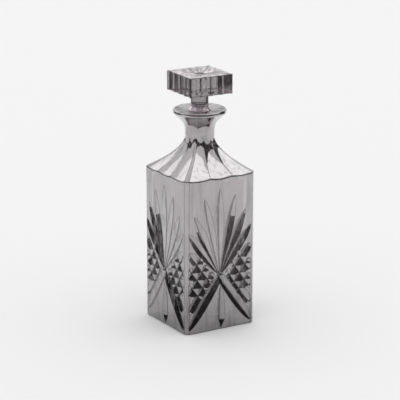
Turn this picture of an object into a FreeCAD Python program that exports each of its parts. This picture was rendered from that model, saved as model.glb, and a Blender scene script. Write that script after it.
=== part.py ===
import FreeCAD, Part
import math
import os
import Sketcher

# Square cut-glass decanter with a ground-glass stopper.
# Millimetres, +Z up, origin at the centre of the base on the surface it stands on.
# The body's sides face -Y, +X, +Y and -X.

# ---------------------------------------------------------------- driving sizes
SIZES = (
    # square body
    ("body_width", 89.0, "side of the square body"),
    ("shoulder_height", 174.0, "height of the shoulder's edge, where its ridges reach it"),
    ("corner_cut", 4.0, "width taken off each side at an upright corner"),
    ("foot_bevel", 1.2, "bevel round the foot"),
    ("side_wall", 7.0, "thickness of the sides"),
    ("base_thickness", 14.0, "thickness of the base"),
    ("cavity_corner", 9.0, "radius of the cavity's upright corners"),
    ("cavity_floor_radius", 4.0, "radius round the cavity's floor"),
    # fluted shoulder
    ("shoulder_rise", 40.0, "height of the shoulder's curve, from its edge to the neck"),
    ("shoulder_power", 1.9, "how hollow the shoulder's curve is, 1 being a straight cone"),
    ("shoulder_wall", 7.0, "thickness of the shoulder, measured upright"),
    ("flute_sag", 2.2, "depth of a shoulder flute at the shoulder's edge"),
    ("flute_fade", 0.7, "depth of a shoulder flute at the neck"),
    # neck and rim
    ("neck_wall", 4.2, "thickness of the neck at its waist"),
    ("waist_rise", 3.0, "from the top of the shoulder's curve up to the neck's waist"),
    ("collar_swell", 4.2, "how much wider the neck is under the rim than at its waist"),
    ("collar_rise", 11.5, "from the waist up to where the neck meets the rim's underside"),
    ("rim_width", 9.2, "how far the rim stands out from the neck under it"),
    ("rim_rise", 13.0, "from the bottom of the rim's underside up to the rim's top"),
    ("rim_edge", 5.2, "thickness of the rim at its edge"),
    ("rim_round", 2.2, "radius of the rim's rounded edge"),
    ("rim_dish", 1.2, "how far the rim's top sinks towards the mouth"),
    ("throat_radius", 11.9, "radius of the neck's bore below the ground taper"),
    # ground joint between neck and stopper
    ("plug_depth", 24.0, "length of the ground plug in the neck"),
    ("seat_step", 0.3, "how much wider the plug's end is than the throat below it"),
    ("plug_taper", 0.05, "radius the plug loses for each millimetre of depth"),
    ("plug_bevel", 1.0, "bevel round the plug's end"),
    ("plug_clearance", 0.06, "radial gap between the ground faces"),
    # stopper
    ("stem_radius", 9.75, "radius of the stem"),
    ("ring_radius", 10.5, "radius of the ring round the stem"),
    ("ring_rise", 5.8, "from the mouth up to the ring's middle"),
    ("ring_width", 1.6, "height of the ring from edge to edge"),
    ("head_rise", 19.6, "from the mouth up to the head's underside"),
    ("head_width", 53.6, "side of the square head"),
    ("head_thickness", 21.5, "thickness of the head"),
    ("head_corner_cut", 1.6, "width taken off each side at an upright corner of the head"),
    ("head_turn", -2.2, "degrees that the head stands turned in the neck"),
    ("head_flute_sag", 0.9, "depth of the flutes on the head's sides"),
    ("star_depth", 1.4, "depth of a ray of the star in the head's top"),
    ("dimple_radius", 4.0, "radius of the dimple in the middle of the star"),
    ("dimple_depth", 2.0, "depth of that dimple"),
    # cuts in the body's sides
    ("cut_centre", 62.5, "height of the point that the cuts spread from"),
    ("cut_depth", 2.3, "depth of the widest cuts"),
    ("fan_length", 99.0, "length of the fan's middle leaf"),
    ("fan_width", 10.5, "width of a fan leaf"),
    ("fan_step", 12.1, "degrees between the fan's leaves"),
    ("leg_length", 70.0, "length of the two crossed legs"),
    ("leg_width", 10.0, "width of a leg"),
    ("leg_angle", 145.5, "degrees from upright to a leg"),
    ("foot_leaf_gap", 9.0, "from the cuts' centre to the top of the leaf below it"),
    ("foot_leaf_length", 50.0, "length of the leaf below the centre"),
)
SHEET = "sizes"
SIDES = 4
FLUTES_A_SIDE = 3
HEAD_FLUTES_A_SIDE = 4
SHOULDER_SECTIONS = 9
UP = FreeCAD.Vector(0, 0, 1)
# How far a cutter stands out of the face that it cuts, and a ray of the star past the head's side.
LIFT = 1.5
SKIRT_SHARE = 0.125    # share of the shoulder's rise that the bell is carried on below its edge
SKIRT_SPREAD = 1.5     # width of the block under the bell, as a share of the body's
FAN_BELLY = 0.62       # how far out along a leaf it is widest
LEG_BELLY = 0.5
FOOT_LEAF_BELLY = 0.75
ROUND_LIMIT = 0.97     # largest corner radius of a rounded section, as a share of its half width
TINY = 1e-6
RAY_OVERRUN = 1.15
# Length of each pair of fan leaves as a share of the middle one, from the middle outwards.
FAN_SHARES = (1.0, 0.93, 0.79, 0.67)

os.makedirs("parts", exist_ok=True)
doc = FreeCAD.newDocument("square_decanter")
sheet = doc.addObject("Spreadsheet::Sheet", SHEET)
for row, (alias, number, meaning) in enumerate(SIZES, start=1):
    sheet.set(f"A{row}", alias)
    sheet.set(f"B{row}", str(number))
    sheet.setAlias(f"B{row}", alias)
    sheet.set(f"C{row}", meaning)
doc.recompute()


class Dim:
    # A length known both as a number and as the expression that binds it to the sheet.

    def __init__(self, value, text=None):
        self.value = float(value)
        self.text = text if text is not None else repr(self.value)

    @staticmethod
    def of(other):
        return other if isinstance(other, Dim) else Dim(other)

    def __add__(self, other):
        other = Dim.of(other)
        return Dim(self.value + other.value, f"({self.text} + {other.text})")

    def __sub__(self, other):
        other = Dim.of(other)
        return Dim(self.value - other.value, f"({self.text} - {other.text})")

    def __mul__(self, other):
        other = Dim.of(other)
        return Dim(self.value * other.value, f"({self.text} * {other.text})")

    def __truediv__(self, other):
        other = Dim.of(other)
        return Dim(self.value / other.value, f"({self.text} / {other.text})")


def size(alias):
    return Dim(sheet.get(alias), f"{SHEET}.{alias}")


# ---------------------------------------------------------------- document helpers
def bind(item, **properties):
    # Bind each named property of a document object to the sheet.
    for name, dim in properties.items():
        item.setExpression(name, Dim.of(dim).text)
    return item


def place(item, height, turn=None):
    # Bind an object's height on the axis, and its turn about the axis in degrees.
    item.setExpression("Placement.Base.z", Dim.of(height).text)
    if turn is not None:
        item.Placement.Rotation = FreeCAD.Rotation(UP, turn.value)
        item.setExpression("Placement.Rotation.Angle", turn.text)
    return item


def squareBlock(name, width, height, bottom, turn):
    # An upright square block centred on the axis.
    square = doc.addObject("Part::RegularPolygon", name + "_outline")
    square.Polygon = SIDES
    bind(square, Circumradius=width / math.sqrt(2))
    place(square, bottom, turn + 45)
    block = doc.addObject("Part::Extrusion", name)
    block.Base = square
    block.DirMode = "Custom"
    block.Dir = UP
    block.Solid = True
    return bind(block, LengthFwd=height)


def combined(kind, name, pieces):
    # A boolean of several objects: MultiFuse or MultiCommon.
    item = doc.addObject("Part::" + kind, name)
    item.Shapes = pieces
    return item


def cut(name, base, tool):
    item = doc.addObject("Part::Cut", name)
    item.Base = base
    item.Tool = tool
    return item


def shaped(name, shape, turn=0.0):
    # An object whose shape is worked out from the sheet by one of the functions below.
    item = doc.addObject("Part::Feature", name)
    item.Shape = shape
    item.Placement = FreeCAD.Placement(FreeCAD.Vector(), FreeCAD.Rotation(UP, turn))
    return item


def revolved(name, outline):
    # A body revolved about the axis from (radius, height) points. A third value on a point is the
    # radius of the hollow arc that leads up to it.
    body = doc.addObject("PartDesign::Body", name)
    sketch = body.newObject("Sketcher::SketchObject", name + "_profile")
    plane = next(item for item in body.Origin.OriginFeatures if item.Role == "XZ_Plane")
    sketch.AttachmentSupport = (plane, "")
    sketch.MapMode = "FlatFace"
    corners = [FreeCAD.Vector(point[0].value, point[1].value, 0) for point in outline]
    count = len(outline)
    for index, start in enumerate(corners):
        after = (index + 1) % count
        sketch.addGeometry(edgeBetween(start, corners[after], outline[after][2:]))
    starts = [startOf(sketch, index, corner) for index, corner in enumerate(corners)]
    for index, start in enumerate(starts):
        after = (index + 1) % count
        sketch.addConstraint(Sketcher.Constraint("Coincident", index, 3 - start, after, starts[after]))
    for index, (point, start) in enumerate(zip(outline, starts)):
        bound(sketch, point[0], "DistanceX", -1, 1, index, start)
        bound(sketch, point[1], "DistanceY", -1, 1, index, start)
        if point[2:]:
            bound(sketch, point[2], "Radius", (index - 1) % count)
    spin = body.newObject("PartDesign::Revolution", name + "_turned")
    spin.Profile = sketch
    spin.ReferenceAxis = (sketch, ["V_Axis"])
    spin.Angle = 360
    doc.recompute()
    return body


def bound(sketch, dim, kind, *where):
    # A sketch constraint bound to the sheet.
    number = sketch.addConstraint(Sketcher.Constraint(kind, *where, dim.value))
    sketch.setExpression(f"Constraints[{number}]", dim.text)


def edgeBetween(start, end, radius):
    # A line, or an arc of the given radius that is hollow towards the outside on its way up.
    if not radius:
        return Part.LineSegment(start, end)
    chord = end - start
    inward = FreeCAD.Vector(-chord.y, chord.x, 0).normalize()
    sag = radius[0].value - math.sqrt(radius[0].value ** 2 - (chord.Length / 2) ** 2)
    return Part.Arc(start, (start + end) / 2 + inward * sag, end)


def startOf(sketch, index, corner):
    # Which end of an edge, 1 or 2, lies at the corner it starts from.
    return 1 if (sketch.getPoint(index, 1) - corner).Length < TINY else 2


def rounded(body, name, height, radius):
    # Round the outermost circular edge of a revolved body that lies at the given height.
    base = body.Tip
    circles = [(edge.Curve.Radius, number) for number, edge in enumerate(base.Shape.Edges, start=1)
               if isinstance(edge.Curve, Part.Circle) and abs(edge.Curve.Center.z - height.value) < TINY]
    fillet = body.newObject("PartDesign::Fillet", name)
    fillet.Base = (base, [f"Edge{max(circles)[1]}"])
    bind(fillet, Radius=radius)
    body.Tip = fillet
    doc.recompute()


# ---------------------------------------------------------------- decanter, outside
bodyWidth = size("body_width")
shoulderEdge = size("shoulder_height")
shoulderRise = size("shoulder_rise")
shoulderTop = shoulderEdge + shoulderRise
bellFoot = shoulderEdge - shoulderRise * SKIRT_SHARE
throatRadius = size("throat_radius")
neckRadius = throatRadius + size("neck_wall")
upright = Dim(0)


def shoulderShare(height):
    # 1 at the shoulder's edge, falling to 0 at the neck along the shoulder's hollow curve.
    share = (shoulderTop.value - height) / shoulderRise.value
    return max(share, 0) ** sheet.get("shoulder_power")


def flutedSection(height):
    # The shoulder's outline at one height. Its ridges spread from the neck to equal steps along the
    # flat of each side, with a hollow flute between each two and a narrow flat strip at each corner.
    half = bodyWidth.value / 2
    flat = half - sheet.get("corner_cut")
    share = shoulderShare(height)
    inner = neckRadius.value - sheet.get("flute_fade")
    sag = sheet.get("flute_fade") + (sheet.get("flute_sag") - sheet.get("flute_fade")) * share
    ridges = []
    for side in range(SIDES):
        for step in range(FLUTES_A_SIDE + 1):
            along = flat * (2 * step / FLUTES_A_SIDE - 1)
            angle = math.atan2(along, half) + side * math.pi / 2
            radius = inner + (math.hypot(along, half) - inner) * share
            ridges.append(FreeCAD.Vector(radius * math.cos(angle), radius * math.sin(angle), height))
    edges = []
    for index, (start, end) in enumerate(zip(ridges, ridges[1:] + ridges[:1])):
        if index % (FLUTES_A_SIDE + 1) == FLUTES_A_SIDE:
            edges.append(Part.LineSegment(start, end).toShape())
            continue
        middle = (start + end) / 2
        inward = FreeCAD.Vector(-middle.x, -middle.y, 0).normalize()
        edges.append(Part.Arc(start, middle + inward * sag, end).toShape())
    return Part.Wire(edges)


def flutedBell():
    # The fluted shoulder, carried on below its edge so that the body's sides trim it to scallops.
    low = bellFoot.value
    step = (shoulderTop.value - low) / SHOULDER_SECTIONS
    sections = [flutedSection(low + step * index) for index in range(SHOULDER_SECTIONS + 1)]
    return Part.makeLoft(sections, True, False)


def bevelledFoot(block):
    # The body's block with its lower edges bevelled.
    item = doc.addObject("Part::Chamfer", "bevelled_block")
    item.Base = block
    width = sheet.get("foot_bevel")
    item.Edges = [(number, width, width) for number, edge in enumerate(block.Shape.Edges, start=1)
                  if max(vertex.Z for vertex in edge.Vertexes) < TINY]
    return item


square = squareBlock("square_block", bodyWidth, shoulderTop, upright, upright)
trimWidth = (bodyWidth - size("corner_cut")) * math.sqrt(2)
cornerTrim = squareBlock("corner_trim", trimWidth, shoulderTop, upright, Dim(45))
trimmed = combined("MultiCommon", "trimmed_block", [square, cornerTrim])
doc.recompute()
block = bevelledFoot(trimmed)
skirtWidth = bodyWidth * SKIRT_SPREAD
skirt = squareBlock("skirt", skirtWidth, bellFoot, upright, upright)
bell = shaped("fluted_bell", flutedBell())
hood = combined("MultiFuse", "hood", [bell, skirt])
body = combined("MultiCommon", "shouldered_body", [block, hood])

swell = size("collar_swell")
collarRise = size("collar_rise")
waist = shoulderTop + size("waist_rise")
collarRadius = neckRadius + swell
collarHeight = waist + collarRise
neckHollow = (collarRise * collarRise + swell * swell) / (swell * 2)
rimRadius = collarRadius + size("rim_width")
rimHeight = collarHeight + size("rim_rise")
rimUnder = rimHeight - size("rim_edge")
mouthHeight = rimHeight - size("rim_dish")
plugEndRadius = throatRadius + size("seat_step")
plugRadius = plugEndRadius + size("plug_taper") * size("plug_depth")
neck = revolved("neck_and_rim", (
    (Dim(0), shoulderEdge + shoulderRise / 2),
    (neckRadius, shoulderEdge + shoulderRise / 2),
    (neckRadius, waist),
    (collarRadius, collarHeight, neckHollow),
    (rimRadius, rimUnder),
    (rimRadius, rimHeight),
    (plugRadius, mouthHeight),
    (Dim(0), mouthHeight),
))
rounded(neck, "rim_under_round", rimUnder, size("rim_round"))
rounded(neck, "rim_top_round", rimHeight, size("rim_round"))
outside = combined("MultiFuse", "outside", [body, neck])


# ---------------------------------------------------------------- decanter, cuts in the sides
def leafCutter(root, tip, width, depth, belly, out):
    # A leaf-shaped V cut between two points of a flat side. The cutter is a kite-shaped pyramid,
    # deepest at the belly, a share of the way from root to tip. out is the side's outward normal.
    along = tip - root
    length = along.Length
    along.normalize()
    across = along.cross(out)
    middle = root + along * (length * belly)
    grow = 1 + LIFT / depth
    apex = middle - out * depth
    rim = [root, middle + across * (width / 2), tip, middle - across * (width / 2)]
    lifted = [apex + (point - apex) * grow for point in rim]
    faces = [Part.Face(Part.makePolygon(lifted + lifted[:1]))]
    for first, second in zip(lifted, lifted[1:] + lifted[:1]):
        faces.append(Part.Face(Part.makePolygon([first, second, apex, first])))
    return Part.Solid(Part.Shell(faces))


def sideCuts():
    # The fan, the two crossed legs and the foot leaf, on each side of the body.
    out = FreeCAD.Vector(0, -1, 0)
    centre = FreeCAD.Vector(0, -bodyWidth.value / 2, sheet.get("cut_centre"))
    depth = sheet.get("cut_depth")

    def toward(degrees):
        return FreeCAD.Vector(math.sin(math.radians(degrees)), 0, math.cos(math.radians(degrees)))

    leaves = []
    for step, share in enumerate(FAN_SHARES):
        for hand in (-1, 1) if step else (1,):
            heading = toward(hand * step * sheet.get("fan_step"))
            tip = centre + heading * (sheet.get("fan_length") * share)
            leaves.append(leafCutter(centre, tip, sheet.get("fan_width"), depth, FAN_BELLY, out))
    for hand in (-1, 1):
        tip = centre + toward(hand * sheet.get("leg_angle")) * sheet.get("leg_length")
        leaves.append(leafCutter(centre, tip, sheet.get("leg_width"), depth, LEG_BELLY, out))
    top = centre - UP * sheet.get("foot_leaf_gap")
    tip = top - UP * sheet.get("foot_leaf_length")
    leaves.append(leafCutter(top, tip, sheet.get("leg_width"), depth, FOOT_LEAF_BELLY, out))
    oneSide = leaves[0].multiFuse(leaves[1:])
    turned = []
    for side in range(SIDES):
        copy = oneSide.copy()
        copy.rotate(FreeCAD.Vector(), UP, side * 90)
        turned.append(copy)
    return Part.makeCompound(turned)


cutOutside = cut("cut_outside", outside, shaped("side_cuts", sideCuts()))


# ---------------------------------------------------------------- decanter, inside
def cavitySection(height, half, corner):
    # A square with rounded corners.
    flat = half - corner
    edges = []
    for side in range(SIDES):
        turn = FreeCAD.Rotation(UP, side * 90)
        bend = FreeCAD.Vector(math.cos(math.pi / 4), math.sin(math.pi / 4), 0) * corner
        centre = FreeCAD.Vector(flat, flat, 0)
        points = [FreeCAD.Vector(half, -flat, 0), FreeCAD.Vector(half, flat, 0),
                  centre + bend, FreeCAD.Vector(flat, half, 0)]
        points = [turn.multVec(point) + UP * height for point in points]
        edges.append(Part.LineSegment(points[0], points[1]).toShape())
        edges.append(Part.Arc(points[1], points[2], points[3]).toShape())
    return Part.Wire(edges)


def cavity():
    # The hollow in the body, drawn in along the shoulder to the throat.
    half = bodyWidth.value / 2 - sheet.get("side_wall")
    corner = sheet.get("cavity_corner")
    floor = sheet.get("base_thickness")
    wall = sheet.get("shoulder_wall")
    throat = sheet.get("throat_radius")
    low = shoulderEdge.value - wall
    main = Part.Face(cavitySection(floor, half, corner)).extrude(UP * (low - floor))
    rim = [edge for edge in main.Edges if max(vertex.Z for vertex in edge.Vertexes) < floor + TINY]
    main = main.makeFillet(sheet.get("cavity_floor_radius"), rim)
    sections = []
    for index in range(SHOULDER_SECTIONS):
        height = low + shoulderRise.value * index / SHOULDER_SECTIONS
        share = shoulderShare(height + wall)
        reach = throat + (half - throat) * share
        bend = min(corner + (throat - corner) * (1 - share), reach * ROUND_LIMIT)
        sections.append(cavitySection(height, reach, bend))
    return main.fuse(Part.makeLoft(sections, True, False))


throatBottom = shoulderEdge + shoulderRise / 2
plugBottom = mouthHeight - size("plug_depth")
overrun = size("rim_dish") + size("rim_edge")
clearance = size("plug_clearance")

throat = doc.addObject("Part::Cylinder", "throat")
bind(throat, Radius=throatRadius, Height=mouthHeight - throatBottom)
place(throat, throatBottom)
groundBore = doc.addObject("Part::Cone", "ground_bore")
bind(groundBore, Radius1=plugEndRadius + clearance,
     Radius2=plugRadius + size("plug_taper") * overrun + clearance,
     Height=size("plug_depth") + overrun)
place(groundBore, plugBottom)
hollowInside = combined("MultiFuse", "hollow", [shaped("cavity", cavity()), throat, groundBore])
decanter = cut("decanter", cutOutside, hollowInside)

# ---------------------------------------------------------------- stopper
stemRadius = size("stem_radius")
ringRadius = size("ring_radius")
ringHeight = mouthHeight + size("ring_rise")
ringHalf = size("ring_width") / 2
headBottom = mouthHeight + size("head_rise")
headWidth = size("head_width")
headThickness = size("head_thickness")
headTurn = size("head_turn")
plugBevel = size("plug_bevel")

stem = revolved("stem_and_plug", (
    (Dim(0), plugBottom),
    (plugEndRadius - plugBevel, plugBottom),
    (plugEndRadius + size("plug_taper") * plugBevel, plugBottom + plugBevel),
    (plugRadius, mouthHeight),
    (stemRadius, ringHeight - ringHalf * 2),
    (stemRadius, ringHeight - ringHalf),
    (ringRadius, ringHeight),
    (stemRadius, ringHeight + ringHalf),
    (stemRadius, headBottom),
    (stemRadius, headBottom + headThickness / 4),
    (Dim(0), headBottom + headThickness / 4),
))


def headPitch():
    # Width of one flute on the side of the head.
    return (headWidth.value - 2 * sheet.get("head_corner_cut")) / HEAD_FLUTES_A_SIDE


def headFlutes():
    # Upright hollow flutes in the four sides of the head.
    half = headWidth.value / 2
    pitch = headPitch()
    sag = sheet.get("head_flute_sag")
    radius = (pitch ** 2 / 4 + sag ** 2) / (2 * sag)
    flutes = []
    for side in range(SIDES):
        for step in range(HEAD_FLUTES_A_SIDE):
            along = pitch * (step + 0.5 - HEAD_FLUTES_A_SIDE / 2)
            axis = FreeCAD.Vector(half + radius - sag, along, headBottom.value - 1)
            flute = Part.makeCylinder(radius, headThickness.value + 2, axis, UP)
            flute.rotate(FreeCAD.Vector(), UP, side * 90)
            flutes.append(flute)
    return flutes[0].multiFuse(flutes[1:])


def headStar():
    # A star of shallow rays round a dimple, in the top of the head. A ray runs to the middle of each
    # side flute and past it, and is widest and deepest at the side.
    top = UP * (headBottom.value + headThickness.value)
    half = headWidth.value / 2
    rays = []
    for side in range(SIDES):
        for step in range(HEAD_FLUTES_A_SIDE):
            along = headPitch() * (step + 0.5 - HEAD_FLUTES_A_SIDE / 2)
            end = FreeCAD.Vector(half, along, 0) * RAY_OVERRUN
            ray = leafCutter(top, top + end, headPitch(), sheet.get("star_depth"), 1 / RAY_OVERRUN, UP)
            ray.rotate(FreeCAD.Vector(), UP, side * 90)
            rays.append(ray)
    radius = sheet.get("dimple_radius")
    depth = sheet.get("dimple_depth")
    ball = (radius ** 2 + depth ** 2) / (2 * depth)
    dimple = Part.makeSphere(ball, top + UP * (ball - depth))
    return dimple.multiFuse(rays)


headBlock = squareBlock("head_block", headWidth, headThickness, headBottom, headTurn)
headTrimWidth = (headWidth - size("head_corner_cut")) * math.sqrt(2)
headTrim = squareBlock("head_trim", headTrimWidth, headThickness, headBottom, headTurn + 45)
headSquare = combined("MultiCommon", "head_square", [headBlock, headTrim])
flutedHead = cut("fluted_head", headSquare, shaped("head_flutes", headFlutes(), headTurn.value))
head = cut("head", flutedHead, shaped("head_star", headStar(), headTurn.value))
stopper = combined("MultiFuse", "stopper", [head, stem])

# ---------------------------------------------------------------- check and write
doc.recompute()
for item in doc.Objects:
    if "Invalid" in item.State or "Error" in item.State:
        raise RuntimeError(f"{item.Label} failed: {item.State}")
for piece in (decanter, stopper):
    shape = piece.Shape
    if shape.isNull() or not shape.isValid() or len(shape.Solids) != 1:
        raise RuntimeError(f"{piece.Label} is not one valid solid")
    print(f"{piece.Label}: {shape.Volume / 1000:.1f} cm3, box {shape.BoundBox}")
for piece in (decanter, stopper):
    piece.Shape.exportStep(f"parts/{piece.Label}.step")
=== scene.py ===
import math

import bmesh
import bpy
from mathutils import Matrix, Vector


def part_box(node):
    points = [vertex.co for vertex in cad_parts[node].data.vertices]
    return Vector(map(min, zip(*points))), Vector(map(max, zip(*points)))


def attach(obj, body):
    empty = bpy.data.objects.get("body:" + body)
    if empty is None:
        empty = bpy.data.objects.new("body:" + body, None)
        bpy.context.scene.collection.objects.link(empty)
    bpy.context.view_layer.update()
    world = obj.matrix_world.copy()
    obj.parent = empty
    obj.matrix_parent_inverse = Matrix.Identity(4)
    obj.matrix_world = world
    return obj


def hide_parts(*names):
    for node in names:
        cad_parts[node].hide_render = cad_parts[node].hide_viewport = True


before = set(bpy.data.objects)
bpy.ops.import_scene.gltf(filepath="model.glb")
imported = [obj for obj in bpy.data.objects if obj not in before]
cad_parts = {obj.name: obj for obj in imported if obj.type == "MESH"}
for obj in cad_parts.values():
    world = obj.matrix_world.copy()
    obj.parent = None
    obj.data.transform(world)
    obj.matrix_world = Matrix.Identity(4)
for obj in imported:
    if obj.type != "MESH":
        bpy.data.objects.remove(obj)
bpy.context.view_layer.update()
mm = 0.001   # the shapes below are drawn in millimetres
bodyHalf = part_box("decanter")[1][0] / mm
print("frame loaded")


# camera, on a long lens a little above the shoulder
cameraSet = {"lens": 167.65, "distance": 2055.6, "azimuth": -31.53, "elevation": 15.79,
             "lookHeight": 137.47, "aside": 0.28, "sensor": 36}


def makeCamera(s):
    azimuth, elevation = math.radians(s["azimuth"]), math.radians(s["elevation"])
    back = Vector((math.sin(azimuth) * math.cos(elevation), -math.cos(azimuth) * math.cos(elevation),
                   math.sin(elevation)))
    right = Vector((math.cos(azimuth), math.sin(azimuth), 0))
    place = Vector((0, 0, s["lookHeight"])) + back * s["distance"] + right * s["aside"]
    data = bpy.data.cameras.new("camera")
    data.lens, data.sensor_width = s["lens"], s["sensor"]
    camera = bpy.data.objects.new("camera", data)
    camera.matrix_world = (Matrix.Translation(place * mm)
                           @ Matrix((right, back.cross(right), back)).transposed().to_4x4())
    bpy.context.scene.collection.objects.link(camera)
    bpy.context.scene.camera = camera


makeCamera(cameraSet)
bpy.context.scene.view_settings.view_transform = "Standard"
print("camera placed")


# mesh helpers
sharpAngle = 14   # degrees past which an edge stays crisp
tiny = 0.02   # keeps a point's ring open


def objectFrom(name, points, faces):
    mesh = bpy.data.meshes.new(name)
    mesh.from_pydata([Vector(p) * mm for p in points], [], faces)
    mesh.validate()
    obj = bpy.data.objects.new(name, mesh)
    bpy.context.scene.collection.objects.link(obj)
    return obj


def shell(rings, points, faces):   # adds a closed skin over rings of equally many points
    count, first = len(rings[0]), len(points)
    for ring in rings:
        points.extend(ring)
    for level in range(len(rings) - 1):
        for k in range(count):
            a, b = first + level * count + k, first + level * count + (k + 1) % count
            faces.append((a, b, b + count, a + count))
    last = first + (len(rings) - 1) * count
    faces.append(tuple(range(first + count - 1, first - 1, -1)))
    faces.append(tuple(range(last, last + count)))


def solid(name, *skins):
    points, faces = [], []
    for rings in skins:
        shell(rings, points, faces)
    obj = objectFrom(name, points, faces)
    tidy = bmesh.new()
    tidy.from_mesh(obj.data)
    bmesh.ops.recalc_face_normals(tidy, faces=tidy.faces)
    tidy.to_mesh(obj.data)
    tidy.free()
    return obj


def carve(obj, how, *others):   # union, difference or intersection with other solids, which are used up
    for other in others:
        step = obj.modifiers.new("carve", "BOOLEAN")
        step.operation, step.object, step.solver = how, other, "MANIFOLD"
    made = bpy.data.meshes.new_from_object(obj.evaluated_get(bpy.context.evaluated_depsgraph_get()))
    obj.modifiers.clear()
    obj.data = made
    for other in others:
        bpy.data.objects.remove(other)
    return obj


def smooth(obj, degrees):
    obj.data.shade_smooth()
    obj.data.set_sharp_from_angle(angle=math.radians(degrees))
    return obj


def circle(radius, height, count, start=0.5):
    turn = 2 * math.pi / count
    return [(radius * math.cos(turn * (k + start)), radius * math.sin(turn * (k + start)), height)
            for k in range(count)]


def quarterTurned(ring, side):   # a ring carried round to another side of the square
    turn = Matrix.Rotation(side * math.pi / 2, 3, "Z")
    return [tuple(turn @ Vector(p)) for p in ring]


def arcPoints(centre, radius, fromDeg, toDeg, steps):   # (radius, height) points round a profile's arc
    angles = [math.radians(fromDeg + (toDeg - fromDeg) * k / steps) for k in range(steps + 1)]
    return [(centre[0] + radius * math.cos(a), centre[1] + radius * math.sin(a)) for a in angles]


# decanter, outside
bodySet = {"corner": 4.0, "cornerRound": 0.7, "footBevel": 1.2, "edge": 174.0, "edgeRound": 1.6,
           "rise": 40.0, "power": 1.9, "flutesASide": 3, "sag": 2.2, "fade": 0.7, "neck": 16.1, "steps": 12,
           "edgeBand": 7.0, "bandLevels": 26, "levels": 30}
neckSet = {"waist": 217.0, "collar": 20.3, "collarHeight": 228.5, "rim": 29.5, "rimHeight": 241.5,
           "edge": 5.2, "round": 2.2, "dish": 1.2, "underLift": 1 / 9, "mouth": 14.2, "turns": 96,
           "collarSteps": 12, "rimSteps": 6}
mouthHeight = neckSet["rimHeight"] - neckSet["dish"]


def shoulderShare(height, s):   # 1 at the shoulder's edge, 0 at the neck
    return max((s["edge"] + s["rise"] - height) / s["rise"], 0) ** s["power"]


def lesser(a, b, blend):   # the smaller of two radii, rounded where they meet
    gap = max(blend - abs(a - b), 0)
    return min(a, b) - gap * gap / (4 * blend)


def blockRadius(angle, s, inset=0):   # from the axis to the side of the square with its corners taken off
    turn = (angle + math.pi / 4) % (math.pi / 2) - math.pi / 4
    side = (bodyHalf - inset) / math.cos(turn)
    cornerReach = math.sqrt(2) * bodyHalf - s["corner"] / math.sqrt(2) - inset
    corner = cornerReach / math.cos(abs(turn) - math.pi / 4)
    return lesser(side, corner, s["cornerRound"])


def flutedRing(height, s):   # hollow flutes between ridges that run up the shoulder to the neck
    share, flat = shoulderShare(height, s), bodyHalf - s["corner"]
    inner = s["neck"] - s["fade"]
    sag = s["fade"] + (s["sag"] - s["fade"]) * share
    ridges = []
    for k in range(s["flutesASide"] + 1):
        along = flat * (2 * k / s["flutesASide"] - 1)
        angle = math.atan2(along, bodyHalf)
        reach = inner + (math.hypot(along, bodyHalf) - inner) * share
        ridges.append(Vector((reach * math.cos(angle), reach * math.sin(angle), height)))
    ring = []
    for a, b in zip(ridges, ridges[1:]):
        inward = -Vector((a.x + b.x, a.y + b.y, 0)).normalized()
        for k in range(s["steps"]):
            t = k / s["steps"]
            ring.append(a.lerp(b, t) + inward * sag * 4 * t * (1 - t))
    ring.append(ridges[-1])
    corner = ridges[-1].lerp(Matrix.Rotation(math.pi / 2, 3, "Z") @ ridges[0], 0.5)
    ring.append(corner)
    return [p for side in range(4) for p in quarterTurned(ring, side)]


def bodyRing(height, s, inset=0):   # the shoulder's section, kept inside the square body
    ring = []
    for x, y, z in flutedRing(max(height, s["edge"] - s["edgeBand"]), s):
        angle, reach = math.atan2(y, x), math.hypot(x, y)
        reach = lesser(reach, blockRadius(angle, s, inset), s["edgeRound"])
        ring.append((reach * math.cos(angle), reach * math.sin(angle), height))
    return ring


def bodySolid(s):
    low, high, top = s["edge"] - s["edgeBand"], s["edge"] + s["edgeBand"] / 2, s["edge"] + s["rise"]
    rings = [bodyRing(0, s, s["footBevel"]), bodyRing(s["footBevel"], s)]
    rings += [bodyRing(low + (high - low) * k / s["bandLevels"], s) for k in range(s["bandLevels"])]
    rings += [bodyRing(high + (top - high) * k / s["levels"], s) for k in range(s["levels"] + 1)]
    return solid("body", rings)


def neckSolid(s, b):
    rise, swell = s["collarHeight"] - s["waist"], s["collar"] - b["neck"]
    hollow = (rise ** 2 + swell ** 2) / (2 * swell)
    spread = math.degrees(math.asin(rise / hollow))
    profile = [(b["neck"], b["edge"] + b["rise"] / 2)]
    profile += arcPoints((b["neck"] + hollow, s["waist"]), hollow, 180, 180 - spread,
                         s["collarSteps"])
    under = s["rimHeight"] - s["edge"]
    slant = math.degrees(math.atan2(under - s["collarHeight"], s["rim"] - s["collar"]))
    back = s["round"] / math.tan(math.radians(90 + slant) / 2)
    reach = s["rim"] - s["round"]
    lower = (reach, under + s["round"] - back * s["underLift"])
    profile += arcPoints(lower, s["round"], slant - 90, 0, s["rimSteps"])
    profile += arcPoints((reach, s["rimHeight"] - s["round"]), s["round"], 0, 90, s["rimSteps"])
    profile.append((s["mouth"], mouthHeight))
    return solid("neck", [circle(r, z, s["turns"]) for r, z in profile])


decanter = bodySolid(bodySet)
carve(decanter, "UNION", neckSolid(neckSet, bodySet))
print("body and neck joined")


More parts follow.
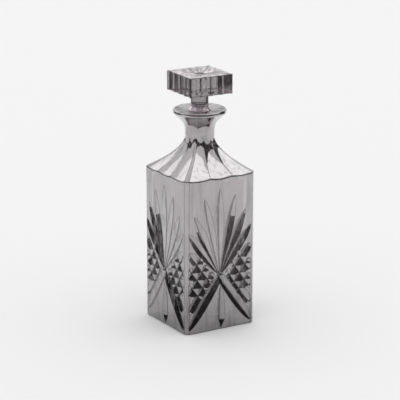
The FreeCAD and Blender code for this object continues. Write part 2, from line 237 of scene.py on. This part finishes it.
# cuts in the four sides, drawn as (across, height) on the side that faces -Y
cutSet = {"centre": (-1.5, 62.0), "slope": 0.5, "lift": 1.5, "segments": 28,
          "fanStep": 12.3, "fanLengths": (99, 92, 79, 67), "fanHalf": 5.3, "fanBelly": 0.62,
          "legAngle": 144.8, "legLength": 70, "legHalf": 6.0, "legBelly": 0.5, "legOverrun": 3,
          "crossing": 0.7,
          "leafPower": 0.7, "footPower": 0.7, "footTop": 10, "footLength": 50,
          "footHalf": 5.4, "footBelly": 0.8,
          "latticeHalf": 5.0, "fanGap": 3.2, "fanPitch": 10.3, "firstFan": 12.3,
          "legGap": 4.7, "legPitch": 11.0, "firstLeg": 10.6, "lines": 3, "latticeReach": 40.6,
          "runOut": 8.0}


def leafWidth(t, belly, fullness):
    return math.sin(math.pi * t ** (math.log(0.5) / math.log(belly))) ** fullness


def grooveWidth(t, length, runOut):   # full width, run out to nothing at both ends
    near = min(t, 1 - t) * length / runOut
    return math.sqrt(max(1 - (1 - near) ** 2, 0)) if near < 1 else 1.0


def bluntWidth(t, start, belly):   # a blunt start in the crossing, widest at the belly, an arched tip
    if t < belly:
        return start + (1 - start) * math.sin(math.pi / 2 * t / belly)
    return math.sqrt(1 - ((t - belly) / (1 - belly)) ** 2)


def footWidth(t, belly, power):   # widens to a shoulder, then closes in one flat facet
    if t < belly:
        return math.sin(math.pi / 2 * (t / belly) ** power)
    return (1 - t) / (1 - belly)


def groove(start, end, half, width):   # the rings of one V cut between two points of a side
    s = cutSet
    start, end = Vector(start), Vector(end)
    along = (end - start).normalized()
    across = Vector((-along.y, along.x))
    rings = []
    for k in range(s["segments"] + 1):
        t = k / s["segments"]
        middle = start.lerp(end, t)
        deep = half * width(t) * s["slope"]
        wide = (deep + s["lift"]) / s["slope"]
        left, right = middle + across * wide, middle - across * wide
        front = -bodyHalf
        rings.append([(left.x, front - s["lift"], left.y), (right.x, front - s["lift"], right.y),
                      (middle.x, front + deep, middle.y)])
    return rings


def onAllSides(name, *cuts):
    return solid(name, *[[quarterTurned(ring, side) for ring in rings]
                         for rings in cuts for side in range(4)])


def heading(degrees):
    return Vector((math.sin(math.radians(degrees)), math.cos(math.radians(degrees))))


def fanAndLegs(s):
    centre = Vector(s["centre"])
    tools = []
    for step, length in enumerate(s["fanLengths"]):
        for hand in ((-1, 1) if step else (1,)):
            tip = centre + heading(hand * step * s["fanStep"]) * length
            shape = groove(centre, tip, s["fanHalf"], lambda t: leafWidth(t, s["fanBelly"], s["leafPower"]))
            tools.append(onAllSides("leaf", shape))
    for hand in (-1, 1):
        way = heading(hand * s["legAngle"])
        shape = groove(centre - way * s["legOverrun"], centre + way * s["legLength"], s["legHalf"],
                       lambda t: bluntWidth(t, s["crossing"], s["legBelly"]))
        tools.append(onAllSides("leg", shape))
    top = centre - Vector((s["centre"][0], s["footTop"]))
    shape = groove(top, top - Vector((0, s["footLength"])), s["footHalf"],
                   lambda t: footWidth(t, s["footBelly"], s["footPower"]))
    tools.append(onAllSides("footLeaf", shape))
    return tools


def lattice(s):
    centre = Vector(s["centre"])
    fanAngle = (len(s["fanLengths"]) - 1) * s["fanStep"]
    tools = []
    for hand in (-1, 1):
        upLine, downLine = heading(-fanAngle), heading(-s["legAngle"])
        upNormal = Vector((-upLine.y, upLine.x))      # away from the fan, towards the side's edge
        downNormal = Vector((downLine.y, -downLine.x))
        lean, cross = upNormal.dot(downNormal), upLine.dot(downNormal)
        fans, legs = [], []
        for k in range(s["lines"]):
            off = s["firstFan"] + s["fanPitch"] * k
            a = (s["legGap"] - off * lean) / cross
            b = (-s["latticeReach"] - centre.x - upNormal.x * off) / upLine.x
            fans.append((centre + upNormal * off + upLine * a, centre + upNormal * off + upLine * b))
            off = s["firstLeg"] + s["legPitch"] * k
            a = (s["fanGap"] - off * lean) / downLine.dot(upNormal)
            b = (-s["latticeReach"] - centre.x - downNormal.x * off) / downLine.x
            legs.append((centre + downNormal * off + downLine * a,
                         centre + downNormal * off + downLine * b))
        for lines in (fans, legs):
            cuts = []
            for start, end in lines:
                if hand > 0:
                    start, end = (Vector((2 * centre.x - p.x, p.y)) for p in (start, end))
                length = (end - start).length
                cuts.append(groove(start, end, s["latticeHalf"],
                                   lambda t, length=length: grooveWidth(t, length, s["runOut"])))
            tools.append(onAllSides("lattice", *cuts))
    return tools


carve(decanter, "DIFFERENCE", *fanAndLegs(cutSet), *lattice(cutSet))
print("sides cut")


# decanter, inside
insideSet = {"wall": 7.0, "floor": 14.0, "corner": 9.0, "floorRound": 4.0, "shoulderWall": 7.0,
             "throat": 11.9, "seat": 12.26, "seatBottom": 216.3, "taper": 0.05, "cornerSteps": 16,
             "floorSteps": 6, "levels": 20, "flaredShare": 0.9, "throatShare": 0.95, "seatStep": 0.05,
             "over": 4.0}


def roundedRing(half, corner, height, steps):
    flat = half - corner
    ring = []
    for k in range(steps):
        a = math.pi / 2 * (k + 0.5) / steps
        ring.append((flat + corner * math.cos(a), flat + corner * math.sin(a), height))
    return [p for side in range(4) for p in quarterTurned(ring, side)]


def cavitySolid(s, b):
    half, n = bodyHalf - s["wall"], s["cornerSteps"]
    rings = []
    centre = (-s["floorRound"], s["floor"] + s["floorRound"])
    for r, z in arcPoints(centre, s["floorRound"], -90, 0, s["floorSteps"]):
        rings.append(roundedRing(half + r, s["corner"] + r / 2, z, n))
    low = b["edge"] - s["shoulderWall"]
    for k in range(s["levels"] + 1):
        height = low + b["rise"] * s["flaredShare"] * k / s["levels"]
        share = shoulderShare(height + s["shoulderWall"], b)
        reach = s["throat"] + (half - s["throat"]) * share
        bend = min(s["corner"] + (s["throat"] - s["corner"]) * (1 - share), reach)
        rings.append(roundedRing(reach, bend, height, n))
    top = mouthHeight + s["over"]
    seatTop = s["seat"] + s["taper"] * (top - s["seatBottom"])
    for radius, height in ((s["throat"], low + b["rise"] * s["throatShare"]),
                           (s["throat"], s["seatBottom"] - s["seatStep"]),
                           (s["seat"], s["seatBottom"]), (seatTop, top)):
        rings.append(roundedRing(radius, radius, height, n))
    return solid("cavity", rings)


carve(decanter, "DIFFERENCE", cavitySolid(insideSet, bodySet))
smooth(decanter, sharpAngle)
print("decanter hollowed", len(decanter.data.polygons))


# stopper
headSet = {"half": 26.8, "corner": 1.6, "bottom": 259.9, "thick": 21.5, "turn": -2.2,
           "flutesASide": 4, "bowlTurns": 48, "bowlSteps": 16, "pitOver": 1.2, "rayFrom": -45,
           "sag": 1.4, "steps": 8, "bevel": 0.7, "dimple": 6.0, "dimpleDeep": 3.0,
           "pit": 3.6, "pitDeep": 8.0,
           "raysASide": 4, "rayReach": 0.96, "rayHalf": 3.8, "raySlope": 0.62, "rayLift": 1.0,
           "rayShape": ((0.0, 0.35), (0.2, 0.85), (0.4, 1.0), (0.65, 0.85), (0.85, 0.5), (1.0, 0.0))}
stemSet = {"stem": 9.75, "ring": 10.5, "ringHeight": 246.1, "ringHalf": 0.8, "plugEnd": 12.2,
           "plug": 13.4, "swell": 0.05, "overlap": 2.0, "plugBottom": 216.3, "bevel": 1.0, "turns": 96}


def headRing(height, inset, s):
    half, flat = s["half"] - inset, s["half"] - s["corner"]
    ring = []
    for k in range(s["flutesASide"]):
        for j in range(s["steps"]):
            t = j / s["steps"]
            along = flat * (2 * (k + t) / s["flutesASide"] - 1)
            ring.append((half - s["sag"] * 4 * t * (1 - t), along, height))
    ring.append((half, flat, height))
    return [p for side in range(4) for p in quarterTurned(ring, side)]


def headSolid(s):
    top = s["bottom"] + s["thick"]
    head = solid("head", [headRing(s["bottom"], s["bevel"], s), headRing(s["bottom"] + s["bevel"], 0, s),
                          headRing(top, 0, s)])
    tools = []
    for k in range(s["raysASide"]):   # star cuts, run out before they reach the edge
        turn = math.radians(s["rayFrom"] + 90 * k / s["raysASide"])
        way = Vector((math.cos(turn), math.sin(turn)))
        across = Vector((-way.y, way.x))
        reach = s["rayReach"] * s["half"] / way.x
        rings = []
        for share, width in s["rayShape"]:
            deep = s["rayHalf"] * width * s["raySlope"]
            wide = (deep + s["rayLift"]) / s["raySlope"]
            middle = way * (reach * share)
            left, right = middle + across * wide, middle - across * wide
            rings.append([(left.x, left.y, top + s["rayLift"]), (right.x, right.y, top + s["rayLift"]),
                          (middle.x, middle.y, top - deep)])
        tools.append(solid("ray", *[[quarterTurned(r, side) for r in rings] for side in range(4)]))
    ball = (s["dimple"] ** 2 + s["dimpleDeep"] ** 2) / (2 * s["dimpleDeep"])
    centre = top - s["dimpleDeep"] + ball
    arc = arcPoints((0, centre), ball, -90, 0, s["bowlSteps"])
    bowl = [circle(max(r, tiny), z, s["bowlTurns"]) for r, z in arc]
    pit = [circle(s["pit"] * share + tiny, top - s["pitDeep"] * (1 - share), s["bowlTurns"])
           for share in (0, s["pitOver"])]
    tools += [solid("dimple", bowl), solid("pit", pit)]
    return carve(head, "DIFFERENCE", *tools)


def stemSolid(s, h):
    profile = [(s["plugEnd"] - s["bevel"], s["plugBottom"]),
               (s["plugEnd"] + s["swell"], s["plugBottom"] + s["bevel"]),
               (s["plug"], mouthHeight), (s["stem"], s["ringHeight"] - 2 * s["ringHalf"]),
               (s["stem"], s["ringHeight"] - s["ringHalf"]), (s["ring"], s["ringHeight"]),
               (s["stem"], s["ringHeight"] + s["ringHalf"]), (s["stem"], h["bottom"] + s["overlap"])]
    return solid("stem", [circle(r, z, s["turns"]) for r, z in profile])


stopper = headSolid(headSet)
stopper.data.transform(Matrix.Rotation(math.radians(headSet["turn"]), 4, "Z"))
carve(stopper, "UNION", stemSolid(stemSet, headSet))
smooth(stopper, sharpAngle)
print("stopper made", len(stopper.data.polygons))


# glass
class Wire:   # a shader socket on which Python's arithmetic adds the nodes
    def __init__(self, tree, socket=None):
        self.tree, self.socket = tree, socket

    def node(self, kind, settings, inputs, output=0):
        made = self.tree.nodes.new(kind)
        for name, value in settings.items():
            setattr(made, name, value)
        for name, value in inputs.items():
            if isinstance(value, Wire):
                self.tree.links.new(value.socket, made.inputs[name])
            else:
                made.inputs[name].default_value = value
        return Wire(self.tree, made.outputs[output])

    def maths(self, operation, *values):
        return self.node("ShaderNodeMath", {"operation": operation}, dict(enumerate(values)))

    def __add__(self, other):
        return self.maths("ADD", self, other)

    def __radd__(self, other):
        return self.maths("ADD", other, self)

    def __sub__(self, other):
        return self.maths("SUBTRACT", self, other)

    def __rsub__(self, other):
        return self.maths("SUBTRACT", other, self)

    def __mul__(self, other):
        return self.maths("MULTIPLY", self, other)

    def __rmul__(self, other):
        return self.maths("MULTIPLY", other, self)

    def __pow__(self, other):
        return self.maths("POWER", self, other)

    def held(self):   # kept between 0 and 1
        return self.maths("MINIMUM", self.maths("MAXIMUM", self, 0.0), 1.0)


# in each set, the edge-line and pit strengths are painted shade, and the paler rim is a painted reflection
lustreSet = {"tint": (0.71, 0.69, 0.70), "dark": (0.03, 0.025, 0.03), "metal": 0.52, "mottle": 0.2,
             "streak": 0.26, "foot": 0.3, "clear": 0.85, "pitShade": 0.0, "line": 4.2,
             "lineRadius": 0.9, "soft": True, "ripple": (110, 110, 30), "rippleDeep": 0.22,
             "rough": 0.02, "ground": 0.0}
stopperGlassSet = {"tint": (0.90, 0.84, 0.865), "dark": (0.03, 0.025, 0.03), "metal": 0.42,
                   "mottle": 0.1, "streak": 0.1, "foot": 0.0, "clear": 0.0, "pitShade": 0.8,
                   "line": 3.6, "lineRadius": 0.8, "soft": False, "ripple": (110, 110, 45),
                   "rippleDeep": 0.1, "rough": 0.0, "ground": 0.22}
insideGlassSet = {"tint": (0.42, 0.35, 0.38), "dark": (0.2, 0.17, 0.18), "metal": 0.0, "mottle": 0.0,
                  "streak": 0.15, "foot": 0.3, "clear": 0.0, "pitShade": 0.0, "line": 0.0,
                  "ripple": (150, 150, 45), "rippleDeep": 1.6, "rough": 0.0, "ground": 0.22}
glassSet = {"ior": 1.52, "mottleSize": (60, 60, 40), "mottleDetail": 3.0, "streakSize": (240, 240, 18),
            "streakSharp": 4, "detail": 2.0, "pale": (0.97, 0.95, 0.96), "bevelSamples": 6,
            "footFade": 75.0, "rimSheenFrom": 229.0, "rimSheenRate": 0.2, "groundFrom": 216.0, "groundTo": 240.6,
            "groundEven": 0.8, "groundMottle": 0.4, "pitFrom": 270, "pitReach": 3.2, "pitRate": 0.6,
            "pitEven": 0.3, "pitMottle": 1.4}
insideRule = {"inward": 0.05, "level": 0.5, "below": 1}


def glassMaterial(name, s, g):
    material = bpy.data.materials.new(name)
    material.use_nodes = True
    shader = material.node_tree.nodes["Principled BSDF"]
    start = Wire(material.node_tree)
    where = start.node("ShaderNodeTexCoord", {}, {}, "Object")
    height = start.node("ShaderNodeSeparateXYZ", {}, {0: where}, "Z") * (1 / mm)
    level = start.node("ShaderNodeVectorMath", {"operation": "MULTIPLY"},
                       {0: where, 1: (1 / mm, 1 / mm, 0)})
    radius = start.node("ShaderNodeVectorMath", {"operation": "LENGTH"}, {0: level}, "Value")

    def noise(stretch, detail):
        moved = start.node("ShaderNodeMapping", {}, {0: where, "Scale": stretch})
        return start.node("ShaderNodeTexNoise", {}, {"Vector": moved, "Scale": 1.0, "Detail": detail})

    mottle = noise(g["mottleSize"], g["mottleDetail"])
    streaks = noise(g["streakSize"], g["detail"])
    # darker streaks at random, running up and down
    streakMask = ((streaks - 0.5) * g["streakSharp"]).held()
    # darker towards the bottom, fading out at the set height
    darker = streakMask * s["streak"] + (1 - height * (1 / g["footFade"])).held() * s["foot"]
    if s["pitShade"]:   # painted shade round the pit in the middle of the star, for the dark that refraction through the stem shows
        pitShadeMask = (height - g["pitFrom"]).held() * (g["pitReach"] - radius * g["pitRate"]).held()
        darker = darker + pitShadeMask * (s["pitShade"] * (g["pitEven"] + g["pitMottle"] * mottle))
    normal = start.node("ShaderNodeNewGeometry", {}, {}, "Normal")
    if s["line"]:   # painted shade: dark lines along the edges, for the dark reflections of rounded ridges, from how far the softened normal leans
        soft = start.node("ShaderNodeBevel", {"samples": g["bevelSamples"]},
                          {"Radius": s["lineRadius"] * mm})
        along = start.node("ShaderNodeVectorMath", {"operation": "DOT_PRODUCT"},
                           {0: soft, 1: normal}, "Value")
        edge = ((1 - along * along).held() ** 0.5 * s["line"]).held()
        darker = (darker + edge * (1 - darker)).held()
        normal = soft if s["soft"] else normal
    # painted reflection: the tint turns paler towards the rim, for the bright light overhead that the rim
    # top reflects
    clear = ((height - g["rimSheenFrom"]) * g["rimSheenRate"]).held() * s["clear"]
    tint = start.node("ShaderNodeMix", {"data_type": "RGBA"},
                      {"Factor": clear, 6: (*s["tint"], 1), 7: (*g["pale"], 1)}, 2)
    tint = start.node("ShaderNodeMix", {"data_type": "RGBA"},
                      {"Factor": darker, 6: tint, 7: (*s["dark"], 1)}, 2)
    ground = (height - g["groundFrom"]).held() * (g["groundTo"] - height).held()
    rough = ground * (s["ground"] * (g["groundEven"] + g["groundMottle"] * mottle)) + s["rough"]
    wave = noise(s["ripple"], g["detail"])
    bump = start.node("ShaderNodeBump", {}, {"Strength": 1.0, "Distance": s["rippleDeep"] * mm,
                                             "Height": wave, "Normal": normal})
    metal = s["metal"] + (mottle - 0.5) * s["mottle"]
    for socket, value in (("Base Color", tint), ("Roughness", rough), ("Normal", bump),
                          ("Metallic", metal)):
        start.tree.links.new(value.socket, shader.inputs[socket])
    shader.inputs["Transmission Weight"].default_value = 1
    shader.inputs["IOR"].default_value = g["ior"]
    return material


def linesInside(face, s, rule):   # true on the skin of the cavity, the throat and the ground bore
    middle, normal = face.center / mm, face.normal
    outward = normal.x * middle.x + normal.y * middle.y
    inward = outward < -rule["inward"] * math.hypot(middle.x, middle.y)
    onFloor = normal.z > rule["level"] and middle.z < s["floor"] + s["floorRound"]
    return middle.z > s["floor"] - rule["below"] and (inward or onFloor)


lustre = glassMaterial("smokedLustre", lustreSet, glassSet)
solidGlass = glassMaterial("solidGlass", stopperGlassSet, glassSet)
insideGlass = glassMaterial("insideGlass", insideGlassSet, glassSet)
for piece, node, slotName, glass in ((decanter, "decanter", "decanter_glass", lustre),
                                     (stopper, "stopper", "stopper_glass", solidGlass)):
    piece.name = node + "Glass"
    piece.data.materials.clear()
    piece.data.materials.append(glass)
    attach(piece, node)
    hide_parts(node)
decanter.data.materials.append(insideGlass)
for face in decanter.data.polygons:
    face.material_index = 1 if linesInside(face, insideSet, insideRule) else 0
print("glass set", sum(f.material_index for f in decanter.data.polygons))


# floor, world and lamps
roomSet = {"white": 0.94, "paper": 0.97, "floor": 30.0,
           "cardRadius": 0.85, "cardHeight": 0.86, "cardFrom": -100, "cardTo": 105, "cardLift": 0.001,
           "lowCardTo": 175, "lowCardHeight": 0.3, "cardSteps": 36, "cardDark": 0.02,
           "paperRough": 0.9, "feltRough": 1}
softBoxes = ({"size": (0.8, 0.8), "at": (0.6, -0.2, 1.1), "glow": 0.9},
             {"size": (0.5, 0.35), "at": (-0.15, 1.0, 0.75), "glow": 0.75})


def plainMaterial(name, colour, roughness):
    material = bpy.data.materials.new(name)
    material.use_nodes = True
    shader = material.node_tree.nodes["Principled BSDF"]
    shader.inputs["Base Color"].default_value = (colour,) * 3 + (1,)
    shader.inputs["Roughness"].default_value = roughness
    return material


def sheetObject(name, points, faces, material):
    mesh = bpy.data.meshes.new(name)
    mesh.from_pydata(points, [], faces)
    obj = bpy.data.objects.new(name, mesh)
    bpy.context.scene.collection.objects.link(obj)
    mesh.materials.append(material)
    return obj


def makeFloor(s):
    half = s["floor"] / 2
    sheetObject("floor", [(-half, -half, 0), (half, -half, 0), (half, half, 0), (-half, half, 0)],
                [(0, 1, 2, 3)], plainMaterial("floorPaper", s["paper"], s["paperRough"]))


def makeDarkCard(s, start, end, height):   # a curved dark flag that only the glass sees
    points, faces = [], []
    for k in range(s["cardSteps"] + 1):
        a = math.radians(start + (end - start) * k / s["cardSteps"])
        x, y = -s["cardRadius"] * math.sin(a), -s["cardRadius"] * math.cos(a)
        points += [(x, y, s["cardLift"]), (x, y, height)]
        if k:
            faces.append((2 * k - 2, 2 * k, 2 * k + 1, 2 * k - 1))
    card = sheetObject("darkCard", points, faces, plainMaterial("darkFelt", s["cardDark"], s["feltRough"]))
    card.visible_camera = card.visible_diffuse = card.visible_shadow = False


def makeWorld(s):
    world = bpy.data.worlds.new("room")
    bpy.context.scene.world = world
    world.use_nodes = True
    back = world.node_tree.nodes["Background"]
    back.inputs["Color"].default_value = (1, 1, 1, 1)
    back.inputs["Strength"].default_value = s["white"]


def makeSoftBox(box):   # a soft lamp that only the glass sees
    data = bpy.data.lights.new("softBox", "AREA")
    data.shape = "RECTANGLE"
    data.size, data.size_y = box["size"]
    data.energy = box["glow"] * math.pi * data.size * data.size_y
    lamp = bpy.data.objects.new("softBox", data)
    place = Vector(box["at"])
    lamp.matrix_world = Matrix.Translation(place) @ place.to_track_quat("Z", "Y").to_matrix().to_4x4()
    lamp.visible_diffuse = False
    bpy.context.scene.collection.objects.link(lamp)


makeFloor(roomSet)
makeDarkCard(roomSet, roomSet["cardFrom"], roomSet["cardTo"], roomSet["cardHeight"])
makeDarkCard(roomSet, roomSet["cardTo"], roomSet["lowCardTo"], roomSet["lowCardHeight"])
makeWorld(roomSet)
for box in softBoxes:
    makeSoftBox(box)
print("room made")
